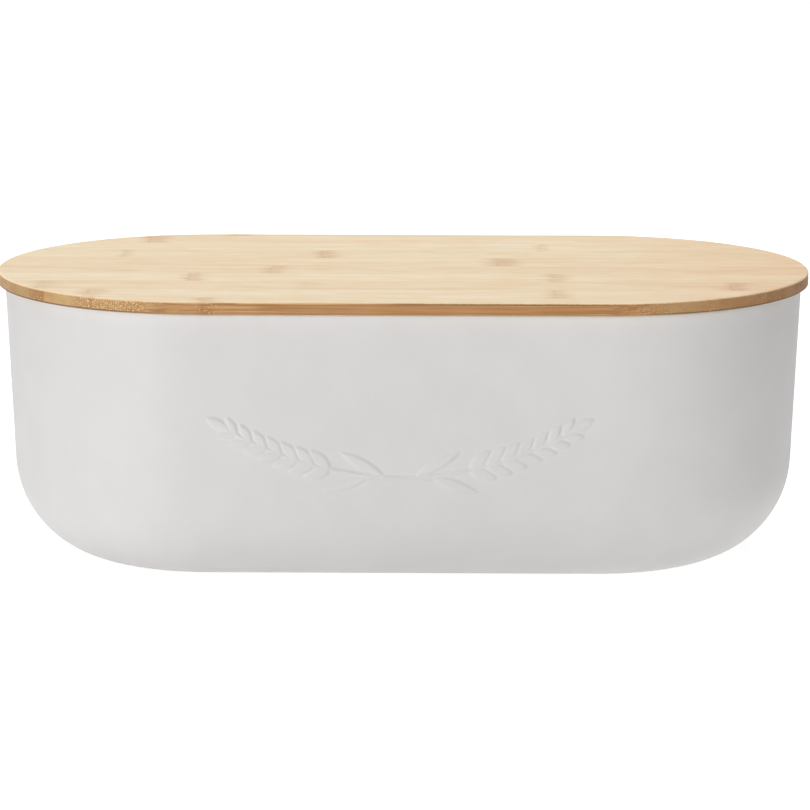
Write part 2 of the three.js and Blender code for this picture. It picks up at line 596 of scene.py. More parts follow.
class BambooKnot(SharedEffect):
    """One node ring of the cane, cut through by a strip: a soft stain with a broken line in it."""

    name = "bamboo_knot"
    takes = {
        "Position": SocketKind.VECTOR,
        "Place": SocketKind.VALUE,
        "Length": SocketKind.VALUE,
        "Strength": SocketKind.VALUE,
    }
    gives = {
        "Stain": SocketKind.VALUE,
        "Line": SocketKind.VALUE,
        "Flecks": SocketKind.VALUE,
    }

    WOBBLE = Noise((0.02, 0.2, 0.2))
    WOBBLE_MM = 6.0
    STREAKS = Noise((0.05, 0.5, 0.5))
    REACH_STEP = Step(0.3, 0.7, 0.5, 1.3)
    INSIDE_STEP = Step(0.1, 0.95, 1.0, 0.0)
    STAIN_STEP = Step(0.3, 0.7, 0.6, 1.0)
    LINE_OFFSET_SHARE = 0.2
    LINE_STEP = Step(0.15, 0.7, 1.0, 0.0)
    BREAKS = Noise((0.3, 1.1, 1.1))
    BREAK_STEP = Step(0.45, 0.65)
    FLECKS_PER_MM = (0.8, 1.1, 1.1)
    FLECK_STEP = Step(0.2, 0.4, 1.0, 0.0)

    @classmethod
    def build(cls, graph: Graph, given: dict[str, NodeSocket]) -> dict[str, NodeSocket]:
        """Builds the knot across the grain. Positions and lengths are in millimetres.

        Args:
            graph: Graph of the group.
            given: The group's inputs by name.

        Returns:
            The stain, the ring's line, and pale flecks where the fibres tangle, each from 0 to
            the knot's strength.
        """
        position, length, strength = given["Position"], given["Length"], given["Strength"]
        x, _, _ = graph.parts(position)
        wobble = graph.math("SUBTRACT", graph.noise(position, cls.WOBBLE), 0.5)
        bent = graph.math("MULTIPLY_ADD", wobble, cls.WOBBLE_MM, x)
        gap = graph.math("SUBTRACT", bent, given["Place"])
        share = graph.math("DIVIDE", graph.math("ABSOLUTE", gap), length)
        streaks = graph.noise(position, cls.STREAKS)
        reach = graph.step(streaks, cls.REACH_STEP)
        inside = graph.step(graph.math("DIVIDE", share, reach), cls.INSIDE_STEP)
        stain = graph.math("MULTIPLY", inside, graph.step(streaks, cls.STAIN_STEP))
        from_line = graph.math("MULTIPLY_ADD", length, cls.LINE_OFFSET_SHARE, gap)
        at_line = graph.step(graph.math("ABSOLUTE", from_line), cls.LINE_STEP)
        broken = graph.step(graph.noise(position, cls.BREAKS), cls.BREAK_STEP)
        line = graph.math("MULTIPLY", at_line, broken)
        cells = graph.cells(graph.scaled(position, cls.FLECKS_PER_MM))
        fleck = graph.step(cells.outputs["Distance"], cls.FLECK_STEP)
        return {
            "Stain": graph.math("MULTIPLY", stain, strength),
            "Line": graph.math("MULTIPLY", line, strength),
            "Flecks": graph.math("MULTIPLY", graph.math("MULTIPLY", fleck, inside), strength),
        }


class SideFace(SharedEffect):
    """Tells the sides of a flat board from its faces, and the eased edge between them."""

    name = "side_face"
    takes = {"Normal": SocketKind.VECTOR}
    gives = {
        "Side": SocketKind.VALUE,
        "End": SocketKind.VALUE,
        "Edge": SocketKind.VALUE,
    }

    UPRIGHT_STEP = Step(0.25, 0.8, 1.0, 0.0)
    ACROSS_STEP = Step(0.06, 0.42)
    EASE_BEGINS = Step(0.05, 0.4)
    EASE_ENDS = Step(0.85, 0.995, 1.0, 0.0)

    @classmethod
    def build(cls, graph: Graph, given: dict[str, NodeSocket]) -> dict[str, NodeSocket]:
        """Builds the masks from where the surface faces.

        Args:
            graph: Graph of the group.
            given: The group's inputs by name.

        Returns:
            Side is 1 on upright faces, and End where the grain is cut across. Edge is 1 on the
            rounding of the upper edge.
        """
        along, _, up = graph.parts(given["Normal"])
        begins, ends = graph.step(up, cls.EASE_BEGINS), graph.step(up, cls.EASE_ENDS)
        return {
            "Side": graph.step(graph.math("ABSOLUTE", up), cls.UPRIGHT_STEP),
            "End": graph.step(graph.math("ABSOLUTE", along), cls.ACROSS_STEP),
            "Edge": graph.math("MULTIPLY", begins, ends),
        }


class EdgeWearAndHighlight(SharedEffect):
    """Breaks up an edge's mask into patches and nicks, for rubbed wear and for a painted highlight on
    the lid's upper edge.
    """

    name = "edge_wear_and_highlight"
    takes = {
        "Position": SocketKind.VECTOR,
        "Edge": SocketKind.VALUE,
        "Amount": SocketKind.VALUE,
    }
    gives = {"Wear And Highlight": SocketKind.VALUE}

    PATCHES = Noise((0.05, 0.05, 0.05))
    PATCH_STEP = Step(0.3, 0.65, 0.5, 1.0)
    NICKS = Noise((0.9, 0.9, 0.9), detail=3.0, roughness=0.6)
    NICK_STEP = Step(0.3, 0.7, 0.5, 1.0)

    @classmethod
    def build(cls, graph: Graph, given: dict[str, NodeSocket]) -> dict[str, NodeSocket]:
        """Builds the wear. The position is in millimetres.

        Args:
            graph: Graph of the group.
            given: The group's inputs by name.

        Returns:
            The broken mask of wear and painted highlight, from 0 to the amount.
        """
        patches = graph.step(graph.noise(given["Position"], cls.PATCHES), cls.PATCH_STEP)
        nicks = graph.step(graph.noise(given["Position"], cls.NICKS), cls.NICK_STEP)
        worn = graph.math("MULTIPLY", graph.math("MULTIPLY", patches, nicks), given["Edge"])
        return {"Wear And Highlight": graph.math("MULTIPLY", worn, given["Amount"])}


class FineMottle(SharedEffect):
    """Faint cloudiness, specks and moulding ripple of a cast or moulded surface."""

    name = "fine_mottle"
    takes = {"Position": SocketKind.VECTOR, "Speck Size": SocketKind.VALUE}
    gives = {
        "Clouds": SocketKind.VALUE,
        "Specks": SocketKind.VALUE,
        "Ripple": SocketKind.VALUE,
    }

    CLOUDS = Noise((0.05, 0.05, 0.05), detail=4.0, roughness=0.55)
    RIPPLE = Noise((0.7, 0.7, 0.7), detail=3.0)
    RARITY_STEP = Step(0.88, 0.9)
    SPOT_STEP = Step(0.1, 0.24, 1.0, 0.0)

    @classmethod
    def build(cls, graph: Graph, given: dict[str, NodeSocket]) -> dict[str, NodeSocket]:
        """Builds the mottle. Positions and sizes are in millimetres.

        Args:
            graph: Graph of the group.
            given: The group's inputs by name.

        Returns:
            Clouds, specks and ripple, each from 0 to 1.
        """
        position = given["Position"]
        per_mm = graph.math("DIVIDE", 1.0, given["Speck Size"])
        grid = [graph.math("MULTIPLY", part, per_mm) for part in graph.parts(position)]
        cells = graph.cells(graph.joined(*grid))
        chance, size, _ = graph.parts(cells.outputs["Color"])
        rare = graph.step(chance, cls.RARITY_STEP)
        spot = graph.step(cells.outputs["Distance"], cls.SPOT_STEP)
        return {
            "Clouds": graph.noise(position, cls.CLOUDS),
            "Specks": graph.math("MULTIPLY", graph.math("MULTIPLY", rare, spot), size),
            "Ripple": graph.noise(position, cls.RIPPLE),
        }


def surface_places(graph: Graph) -> tuple[NodeSocket, NodeSocket]:
    """Where a point lies on its own piece.

    Args:
        graph: Graph of a material.

    Returns:
        The position in millimetres and the normal, both in the piece's own frame.
    """
    source = graph.node("ShaderNodeTexCoord")
    return graph.scaled(source.outputs["Object"], (1 / MM,) * 3), source.outputs["Normal"]


def new_material(name: str) -> tuple[Material, Graph, Node]:
    """Makes a material with one Principled shader.

    Args:
        name: The material's name.

    Returns:
        The material, its graph and its Principled node.
    """
    material = bpy.data.materials.new(name)
    material.use_nodes = True
    tree = material.node_tree
    return material, Graph(tree), tree.nodes["Principled BSDF"]


# Finishes


class BambooTone(Enum):
    """Tones of the cane, each a pale and a deep colour that the grain runs between."""

    CREAM = (srgb(246, 230, 199), srgb(240, 219, 185))
    STRAW = (srgb(243, 227, 193), srgb(236, 216, 178))
    PEACH = (srgb(246, 226, 194), srgb(238, 214, 179))
    HONEY = (srgb(243, 222, 188), srgb(234, 210, 173))


@dataclass(frozen=True)
class Knot:
    """A node ring of the cane where it crosses a strip.

    Attributes:
        place: Its middle, in millimetres along X.
        strength: How dark it is, from 0 to 1.
        length: Length of its stain in millimetres.
    """

    place: float
    strength: float = 0.8
    length: float = 9.0


@dataclass(frozen=True)
class Stretch:
    """A stretch of a strip, in millimetres along X.

    Attributes:
        low, high: Its ends.
        fade: Length over which it fades out at either end.
        strength: How much it counts, from 0 to 1.
    """

    low: float
    high: float
    fade: float = 8.0
    strength: float = 1.0

    def mask(self, graph: Graph, x: NodeSocket) -> NodeSocket:
        """Where the stretch lies.

        Args:
            graph: Graph of a material.
            x: Position along X, in millimetres.

        Returns:
            A mask that is the stretch's strength inside it.
        """
        rising = graph.ramp(x, self.low, self.low + self.fade, 0.0, self.strength)
        falling = graph.ramp(x, self.high - self.fade, self.high, 1.0, 0.0)
        return graph.math("MULTIPLY", rising, falling)


@dataclass
class Strip:
    """One strip of bamboo in a ply.

    Attributes:
        tone: Its colours.
        knots: The node rings that cross it.
        crowds: Where its bundles stand close, and show as dots on a cut across the grain.
        dark_lines: Where a dark fibre runs along its side, under the upper edge.
        darker, paler: Where its side is darker or paler. Darker stretches over the right end are
            painted shade; the others darken it in patches.
        squeeze: How many times closer its bundles stand across the strip than up it.
    """

    tone: BambooTone
    knots: tuple[Knot, ...] = ()
    crowds: tuple[Stretch, ...] = ()
    dark_lines: tuple[Stretch, ...] = ()
    darker: tuple[Stretch, ...] = ()
    paler: tuple[Stretch, ...] = ()
    squeeze: float = 1.6


@dataclass(frozen=True)
class BambooFinish:
    """Oiled bamboo, one strip's worth.

    Attributes:
        name: Name of the material.
        strip: What the strip shows.
        seed: Which part of the grain the strip is cut from.
        joints: Y of the strip's glue lines, in millimetres.
        bottom, top: Heights of the strip's faces, in millimetres.
    """

    name: str
    strip: Strip
    seed: float
    joints: Sequence[float]
    bottom: float
    top: float

    LONG_PALE = srgb(199, 150, 95)
    LONG_DEEP = srgb(176, 126, 73)
    END_PALE = srgb(213, 180, 130)
    END_DEEP = srgb(194, 156, 104)
    CORE = srgb(238, 202, 146)
    RING = srgb(160, 104, 58)
    FIBRE = srgb(196, 158, 112)
    STREAK = srgb(150, 102, 58)
    PALE_STREAK = srgb(212, 166, 114)
    STAIN = srgb(229, 214, 196)
    LINE = srgb(140, 98, 64)
    GLUE = srgb(186, 150, 106)
    RIGHT_END_SHADE = srgb(248, 238, 229)
    DARK_FIBRE = srgb(116, 76, 40)
    MOTTLE = srgb(252, 247, 240)
    # Painted highlight on the eased upper edge, broken up like rubbed wear.
    RUB_AND_HIGHLIGHT = srgb(248, 213, 170)
    SHADED = srgb(112, 84, 58)
    DARK_PATCH_AND_SHADE = srgb(130, 86, 46)
    BUNDLE_PITCH_MM = 0.88
    GLUE_WIDTH_MM = 0.3
    RIGHT_END_SHADE_FROM_TO_MM = (60.0, 172.0)
    SHADE_FROM_TO_MM = (0.45, 0.95)
    DARK_LINE_BEGINS = Step(0.2, 0.4)
    DARK_LINE_ENDS = Step(0.7, 1.2, 1.0, 0.0)
    LESS_AT_ENDS = Step(0.3, 1.0, 1.0, 0.15)

    WEAR_AND_HIGHLIGHT_AMOUNT = 0.8
    FIBRE_AMOUNT = 0.12
    LINE_AMOUNT = 0.5
    DARK_LINE_AMOUNT = 0.9
    RINGS_ON_FACE_SIDE = (0.04, 0.46)
    CORES_ON_FACE_SIDE = (0.05, 0.9)
    STREAKS_ON_FACE_SIDE = (0.04, 0.6)
    STAIN_ON_FACE_SIDE = (1.0, 0.15)
    FLECKS_ON_FACE_SIDE = (0.05, 0.6)
    GLUE_ON_FACE_SIDE = (0.35, 0.15)
    SHADE_ON_LONG_END = (0.25, 0.9)

    ROUGHNESS = 0.46
    ROUGHER_BANDS = 0.1
    ROUGHER_CORES = 0.08
    ROUGHER_SIDE = 0.13
    SMOOTHER_WEAR = -0.08
    RING_HEIGHT = -0.6
    LINE_HEIGHT = -1.0
    GLUE_HEIGHT = -1.2
    BUMP_STRENGTH = 0.5
    BUMP_DEPTH = 0.04 * MM

    def material(self) -> Material:
        """Builds the strip's material.

        Returns:
            The material.
        """
        material, graph, shader = new_material(self.name)
        position, normal = surface_places(graph)
        x, _, _ = graph.parts(position)
        masks = graph.effect(SideFace.group(), {"Normal": normal})
        feeds = {
            "Position": position,
            "Seed": self.seed,
            "Bundle Pitch": self.BUNDLE_PITCH_MM,
            "Squeeze": self.strip.squeeze,
            "Crowding": self.anywhere(graph, x, self.strip.crowds),
        }
        grain = graph.effect(BambooGrain.group(), feeds)
        feeds = {"Position": position, "Edge": masks["Edge"], "Amount": self.WEAR_AND_HIGHLIGHT_AMOUNT}
        wear_and_highlight = graph.effect(EdgeWearAndHighlight.group(), feeds)["Wear And Highlight"]
        marks = self.knot_masks(graph, position)
        marks["Glue"] = self.glue_mask(graph, position)
        colour = self.grained(graph, x, masks, grain)
        colour = self.marked(graph, position, masks, marks, colour)
        # Painted highlight along the eased upper edge, in patches like rubbed wear.
        graph.feed(shader.inputs["Base Color"], graph.mix(wear_and_highlight, colour, self.RUB_AND_HIGHLIGHT))
        rough = graph.math("MULTIPLY_ADD", grain["Bands"], self.ROUGHER_BANDS, self.ROUGHNESS)
        rough = graph.math("MULTIPLY_ADD", grain["Cores"], self.ROUGHER_CORES, rough)
        rough = graph.math("MULTIPLY_ADD", wear_and_highlight, self.SMOOTHER_WEAR, rough)
        rough = graph.math("MULTIPLY_ADD", masks["Side"], self.ROUGHER_SIDE, rough)
        graph.feed(shader.inputs["Roughness"], rough)
        height = graph.math("MULTIPLY_ADD", grain["Rings"], self.RING_HEIGHT, grain["Fibres"])
        height = graph.math("MULTIPLY_ADD", marks["Line"], self.LINE_HEIGHT, height)
        height = graph.math("MULTIPLY_ADD", marks["Glue"], self.GLUE_HEIGHT, height)
        bent = graph.bump(height, self.BUMP_STRENGTH, self.BUMP_DEPTH)
        graph.feed(shader.inputs["Normal"], bent)
        return material

    def grained(
        self,
        graph: Graph,
        x: NodeSocket,
        masks: dict[str, NodeSocket],
        grain: dict[str, NodeSocket],
    ) -> NodeSocket:
        """Colour of the wood before knots, glue, painted shade and the painted highlight on the eased
        edge.

        Args:
            graph: Graph of the material.
            x: Position along X, in millimetres.
            masks: The board's face masks.
            grain: The grain's values.

        Returns:
            The colour.
        """
        side, end = masks["Side"], masks["End"]
        pale, deep = self.strip.tone.value
        colour = graph.mix(
            grain["Bands"],
            graph.mix(side, pale, graph.mix(end, self.LONG_PALE, self.END_PALE)),
            graph.mix(side, deep, graph.mix(end, self.LONG_DEEP, self.END_DEEP)),
        )
        fine = graph.math("MULTIPLY", grain["Fibres"], self.FIBRE_AMOUNT)
        colour = graph.mix(fine, colour, self.FIBRE, "MULTIPLY")
        colour = graph.mix(grain["Mottle"], colour, self.MOTTLE, "MULTIPLY")
        # Darker stretches: painted shade over the right end, and darker patches elsewhere.
        darker = graph.math("MULTIPLY", self.anywhere(graph, x, self.strip.darker), side)
        colour = graph.mix(darker, colour, self.DARK_PATCH_AND_SHADE)
        paler = graph.math("MULTIPLY", self.anywhere(graph, x, self.strip.paler), side)
        colour = graph.mix(paler, colour, self.PALE_STREAK)
        amount = graph.between(side, *self.RINGS_ON_FACE_SIDE)
        colour = graph.mix(graph.math("MULTIPLY", grain["Rings"], amount), colour, self.RING)
        amount = graph.between(side, *self.CORES_ON_FACE_SIDE)
        colour = graph.mix(graph.math("MULTIPLY", grain["Cores"], amount), colour, self.CORE)
        amount = graph.between(side, *self.STREAKS_ON_FACE_SIDE)
        amount = graph.math("MULTIPLY", amount, graph.step(end, self.LESS_AT_ENDS))
        dark = graph.math("MULTIPLY", grain["Streaks"], amount)
        colour = graph.mix(dark, colour, self.STREAK)
        pale = graph.math("MULTIPLY", grain["Pale Streaks"], amount)
        return graph.mix(pale, colour, self.PALE_STREAK)

    def marked(
        self,
        graph: Graph,
        position: NodeSocket,
        masks: dict[str, NodeSocket],
        marks: dict[str, Feed],
        colour: NodeSocket,
    ) -> NodeSocket:
        """Adds painted shade towards the right end, the knots, the glue lines, painted shade along
        the foot of the side, and dark fibres.

        Args:
            graph: Graph of the material.
            position: Position on the strip, in millimetres.
            masks: The board's face masks.
            marks: The masks of the knots and the glue lines.
            colour: Colour of the grained wood.

        Returns:
            The marked colour.
        """
        side = masks["Side"]
        x, _, z = graph.parts(position)
        # Painted shade: every strip darker and yellower towards its right end, where less light and
        # sheen fall.
        right_end_shade = graph.ramp(x, *self.RIGHT_END_SHADE_FROM_TO_MM)
        colour = graph.mix(right_end_shade, colour, self.RIGHT_END_SHADE, "MULTIPLY")
        amount = graph.between(side, *self.STAIN_ON_FACE_SIDE)
        stain = graph.math("MULTIPLY", marks["Stain"], amount)
        colour = graph.mix(stain, colour, self.STAIN, "MULTIPLY")
        line = graph.math("MULTIPLY", marks["Line"], self.LINE_AMOUNT)
        colour = graph.mix(line, colour, self.LINE)
        amount = graph.between(side, *self.FLECKS_ON_FACE_SIDE)
        colour = graph.mix(graph.math("MULTIPLY", marks["Flecks"], amount), colour, self.CORE)
        amount = graph.between(side, *self.GLUE_ON_FACE_SIDE)
        colour = graph.mix(graph.math("MULTIPLY", marks["Glue"], amount), colour, self.GLUE)
        # Painted shade along the foot of the side, strongest on the ends, where the lid's edge meets
        # the tub.
        begins, ends = (self.bottom + rise for rise in self.SHADE_FROM_TO_MM)
        low = graph.ramp(z, begins, ends, 1.0, 0.0)
        amount = graph.between(masks["End"], *self.SHADE_ON_LONG_END)
        colour = graph.mix(graph.math("MULTIPLY", low, amount), colour, self.SHADED)
        depth = graph.math("SUBTRACT", self.top, z)
        begins = graph.step(depth, self.DARK_LINE_BEGINS)
        band = graph.math("MULTIPLY", begins, graph.step(depth, self.DARK_LINE_ENDS))
        along = self.anywhere(graph, x, self.strip.dark_lines)
        dark = graph.math("MULTIPLY", along, self.DARK_LINE_AMOUNT)
        return graph.mix(graph.math("MULTIPLY", dark, band), colour, self.DARK_FIBRE)

    @staticmethod
    def anywhere(graph: Graph, x: NodeSocket, stretches: Sequence[Stretch]) -> Feed:
        """All of some stretches together.

        Args:
            graph: Graph of the material.
            x: Position along X, in millimetres.
            stretches: The stretches.

        Returns:
            A mask that is the strongest of them.
        """
        found: Feed = 0.0
        for stretch in stretches:
            found = graph.math("MAXIMUM", found, stretch.mask(graph, x))
        return found

    def knot_masks(self, graph: Graph, position: NodeSocket) -> dict[str, Feed]:
        """Stain, line and flecks of all the strip's knots together.

        Args:
            graph: Graph of the material.
            position: Position on the strip, in millimetres.

        Returns:
            The three masks by name.
        """
        together: dict[str, Feed] = dict.fromkeys(BambooKnot.gives, 0.0)
        for knot in self.strip.knots:
            feeds = {
                "Position": position,
                "Place": knot.place,
                "Length": knot.length,
                "Strength": knot.strength,
            }
            for name, mask in graph.effect(BambooKnot.group(), feeds).items():
                together[name] = graph.math("MAXIMUM", together[name], mask)
        return together

    def glue_mask(self, graph: Graph, position: NodeSocket) -> NodeSocket:
        """The strip's edges along its glue lines.

        Args:
            graph: Graph of the material.
            position: Position on the strip, in millimetres.

        Returns:
            A mask that is 1 at a glue line.
        """
        _, y, _ = graph.parts(position)
        nearest: Feed = 1.0
        for joint in self.joints:
            gap = graph.math("ABSOLUTE", graph.math("SUBTRACT", y, joint))
            nearest = graph.math("MINIMUM", nearest, gap)
        return graph.ramp(nearest, 0.0, self.GLUE_WIDTH_MM, 1.0, 0.0)


@dataclass(frozen=True)
class MelamineFinish:
    """Off-white moulded plastic with a satin surface.

    Attributes:
        rim_height: Height of the rim, where the edge is rubbed and the band below it is brightened
            with painted light.
    """

    rim_height: float

    BODY = srgb(222, 220, 219)
    CLOUD = srgb(220, 218, 217)
    SPECK = srgb(196, 192, 184)
    # Rubbed wear, and painted light on the band under the rim.
    RUB_AND_HIGHLIGHT = srgb(240, 239, 236)
    INDEX = 1.5
    SPECK_SIZE_MM = 1.4
    RIM_BAND_MM = 1.6
    FOOT_BAND_MM = 0.5
    CLOUD_STEP = Step(0.35, 0.65)
    SPECK_AMOUNT = 0.35
    WEAR_AND_HIGHLIGHT_AMOUNT = 0.8
    ROUGHNESS_STEP = Step(0.3, 0.7, 0.57, 0.61)
    SMOOTHER_WEAR = -0.12
    SPECK_HEIGHT = 0.4
    BUMP_STRENGTH = 0.25
    BUMP_DEPTH = 0.02 * MM

    def material(self) -> Material:
        """Builds the tub's material.

        Returns:
            The material.
        """
        material, graph, shader = new_material("satin_melamine")
        position, _ = surface_places(graph)
        feeds = {"Position": position, "Speck Size": self.SPECK_SIZE_MM}
        mottle = graph.effect(FineMottle.group(), feeds)
        clouds = graph.step(mottle["Clouds"], self.CLOUD_STEP)
        colour = graph.mix(clouds, self.BODY, self.CLOUD)
        specks = graph.math("MULTIPLY", mottle["Specks"], self.SPECK_AMOUNT)
        colour = graph.mix(specks, colour, self.SPECK)
        _, _, z = graph.parts(position)
        rim = self.rim_height / MM
        # The rim's edge is rubbed, and the band just under it, which the lid shades, is brightened
        # with painted light; the foot band is rubbed wear.
        rubbed_and_lit_rim = graph.ramp(z, rim - self.RIM_BAND_MM, rim)
        at_foot = graph.ramp(z, 0.0, self.FOOT_BAND_MM, 1.0, 0.0)
        edge = graph.math("MAXIMUM", rubbed_and_lit_rim, at_foot)
        feeds = {"Position": position, "Edge": edge, "Amount": self.WEAR_AND_HIGHLIGHT_AMOUNT}
        wear_and_highlight = graph.effect(EdgeWearAndHighlight.group(), feeds)["Wear And Highlight"]
        graph.feed(shader.inputs["Base Color"], graph.mix(wear_and_highlight, colour, self.RUB_AND_HIGHLIGHT))
        shader.inputs["IOR"].default_value = self.INDEX
        rough = graph.step(mottle["Clouds"], self.ROUGHNESS_STEP)
        rough = graph.math("MULTIPLY_ADD", wear_and_highlight, self.SMOOTHER_WEAR, rough)
        graph.feed(shader.inputs["Roughness"], rough)
        height = graph.math(
            "MULTIPLY_ADD", mottle["Specks"], self.SPECK_HEIGHT, mottle["Ripple"]
        )
        bent = graph.bump(height, self.BUMP_STRENGTH, self.BUMP_DEPTH)
        graph.feed(shader.inputs["Normal"], bent)
        return material


@dataclass(frozen=True)
class SiliconeFinish:
    """Milky silicone with dust on it."""

    BODY = srgb(228, 226, 218)
    DEEP = srgb(214, 211, 201)
    DUST = srgb(190, 184, 172)
    SPECK_SIZE_MM = 0.9
    CLOUD_STEP = Step(0.3, 0.7)
    DUST_AMOUNT = 0.6
    ROUGHNESS_STEP = Step(0.3, 0.7, 0.5, 0.6)
    SUBSURFACE = 0.15
    SCATTER_RADIUS = (1.5 * MM, 1.4 * MM, 1.2 * MM)
    BUMP_STRENGTH = 0.3
    BUMP_DEPTH = 0.02 * MM

    def material(self) -> Material:
        """Builds the seal's material.

        Returns:
            The material.
        """
        material, graph, shader = new_material("milky_silicone")
        position, _ = surface_places(graph)
        feeds = {"Position": position, "Speck Size": self.SPECK_SIZE_MM}
        mottle = graph.effect(FineMottle.group(), feeds)
        clouds = graph.step(mottle["Clouds"], self.CLOUD_STEP)
        colour = graph.mix(clouds, self.BODY, self.DEEP)
        dust = graph.math("MULTIPLY", mottle["Specks"], self.DUST_AMOUNT)
        graph.feed(shader.inputs["Base Color"], graph.mix(dust, colour, self.DUST))
        rough = graph.step(mottle["Clouds"], self.ROUGHNESS_STEP)
        graph.feed(shader.inputs["Roughness"], rough)
        shader.inputs["Subsurface Weight"].default_value = self.SUBSURFACE
        shader.inputs["Subsurface Radius"].default_value = self.SCATTER_RADIUS
        shader.inputs["Subsurface Scale"].default_value = 1.0
        bent = graph.bump(mottle["Ripple"], self.BUMP_STRENGTH, self.BUMP_DEPTH)
        graph.feed(shader.inputs["Normal"], bent)
        return material


# The raised ornament on the tub's front


@dataclass(frozen=True)
class WheatEar:
    """One ear of wheat on a curved stem, drawn as heights over a flat field.

    Attributes:
        start, bend, tip: Control points of the stem, which is a quadratic curve.
        grain_pairs: Number of pairs of grains along the upper part of the stem.
        first_grain_share, last_grain_share: Where along the stem the pairs begin and end.
        grain_length, grain_width: Size of the lowest grains.
        grain_shrink_share: Size of the highest grains as a share of that.
        splay: How far the grains lean out from the stem.
        stem_width: Width of the stem.
        leaf_length, leaf_width, leaf_splay: The two leaves.
        leaf_shares: Where along the stem the leaves spring from it.
        rise: Height of the relief.
        shoulder: Distance over which an edge rises.
    """

    start: Point = (-13 * MM, -11 * MM)
    bend: Point = (34 * MM, -12 * MM)
    tip: Point = (70 * MM, 9 * MM)
    grain_pairs: int = 7
    first_grain_share: float = 0.46
    last_grain_share: float = 0.95
    grain_length: float = 13 * MM
    grain_width: float = 5.6 * MM
    grain_shrink_share: float = 0.76
    splay: float = math.radians(29)
    stem_width: float = 2.5 * MM
    leaf_length: float = 23 * MM
    leaf_width: float = 5.2 * MM
    leaf_splay: float = math.radians(25)
    leaf_shares: tuple[float, float] = (0.2, 0.27)
    rise: float = 0.65 * MM
    shoulder: float = 1.3 * MM

    TIP_GRAIN_OFFSET = 0.4
    TIP_GRAIN_WIDTH = 0.9
    STEM_JOINTS = 25

    def on_stem(self, share: float) -> tuple[Vector, float]:
        """A place along the stem.

        Args:
            share: 0 at the foot of the stem and 1 at its tip.

        Returns:
            The point, and the direction of the stem there in radians.
        """
        start, bend, tip = Vector(self.start), Vector(self.bend), Vector(self.tip)
        lower = start.lerp(bend, share)
        upper = bend.lerp(tip, share)
        along = upper - lower
        return lower.lerp(upper, share), math.atan2(along.y, along.x)

    def almond(
        self, u: np.ndarray, v: np.ndarray, centre: Vector, turn: float, length: float, width: float
    ) -> np.ndarray:
        """How deep points lie inside an almond, whose two sides are arcs.

        Args:
            u, v: Coordinates of the points.
            centre: Middle of the almond.
            turn: Direction of its long axis in radians.
            length, width: Its size.

        Returns:
            The depth, below zero outside the almond.
        """
        along = (u - centre.x) * math.cos(turn) + (v - centre.y) * math.sin(turn)
        across = (v - centre.y) * math.cos(turn) - (u - centre.x) * math.sin(turn)
        radius = (length**2 + width**2) / (4 * width)
        return radius - np.hypot(along, np.abs(across) + radius - width / 2)

    def grown(
        self,
        u: np.ndarray,
        v: np.ndarray,
        share: float,
        lean: float,
        length: float,
        width: float,
        offset: float = 0.5,
    ) -> np.ndarray:
        """How deep points lie inside an almond that grows from the stem.

        Args:
            u, v: Coordinates of the points.
            share: Where on the stem it grows.
            lean: How far it leans from the stem's direction, in radians.
            length, width: Its size.
            offset: From the stem to its middle, as a share of its length.

        Returns:
            The depth, below zero outside the almond.
        """
        foot, turn = self.on_stem(share)
        turn += lean
        middle = foot + Vector((math.cos(turn), math.sin(turn))) * length * offset
        return self.almond(u, v, middle, turn, length, width)

    def depths(self, u: np.ndarray, v: np.ndarray) -> list[np.ndarray]:
        """How deep points lie inside each form of the ear.

        Args:
            u, v: Coordinates of the points.

        Returns:
            One array for each grain, leaf and stretch of stem.
        """
        forms = []
        shares = np.linspace(self.first_grain_share, self.last_grain_share, self.grain_pairs)
        sizes = np.linspace(1, self.grain_shrink_share, self.grain_pairs)
        for share, size in zip(shares, sizes):
            length, width = self.grain_length * size, self.grain_width * size
            for lean in (self.splay, -self.splay):
                forms.append(self.grown(u, v, share, lean, length, width))
        length, width = self.grain_length, self.grain_width * self.TIP_GRAIN_WIDTH
        forms.append(self.grown(u, v, 1.0, 0.0, length, width, self.TIP_GRAIN_OFFSET))
        for share, lean in zip(self.leaf_shares, (self.leaf_splay, -self.leaf_splay)):
            forms.append(self.grown(u, v, share, lean, self.leaf_length, self.leaf_width))
        joints = [self.on_stem(share)[0] for share in np.linspace(0, 1, self.STEM_JOINTS)]
        for low, high in zip(joints, joints[1:]):
            run = high - low
            share = ((u - low.x) * run.x + (v - low.y) * run.y) / run.length_squared
            share = np.clip(share, 0, 1)
            away = np.hypot(u - low.x - run.x * share, v - low.y - run.y * share)
            forms.append(self.stem_width / 2 - away)
        return forms

    def heights(self, u: np.ndarray, v: np.ndarray) -> np.ndarray:
        """Height of the relief: each form a low dome with a soft shoulder.

        Args:
            u, v: Coordinates of the points.

        Returns:
            The height at each point.
        """
        tallest = np.zeros_like(u)
        for depth in self.depths(u, v):
            share = np.clip(depth / self.shoulder, 0, 1)
            tallest = np.maximum(tallest, self.rise * share * share * (3 - 2 * share))
        return tallest


@dataclass(frozen=True)
class WheatRelief:
    """Two ears of wheat that cross at their stems, raised on the tub's front.

    Attributes:
        ear: The right ear. The left one mirrors it.
        half_height: Half the height of the field that the relief keeps to.
        row_step: Spacing of the mesh over the field.
    """

    ear: WheatEar = WheatEar()
    half_height: float = 19.5 * MM
    row_step: float = 0.45 * MM

    def heights(self, u: np.ndarray, v: np.ndarray) -> np.ndarray:
        """Height of the relief over its field.

        Args:
            u: Distance to the right of the middle.
            v: Distance up the wall from the middle.

        Returns:
            The height at each point.
        """
        return np.maximum(self.ear.heights(u, v), self.ear.heights(-u, v))


# The sub-assemblies


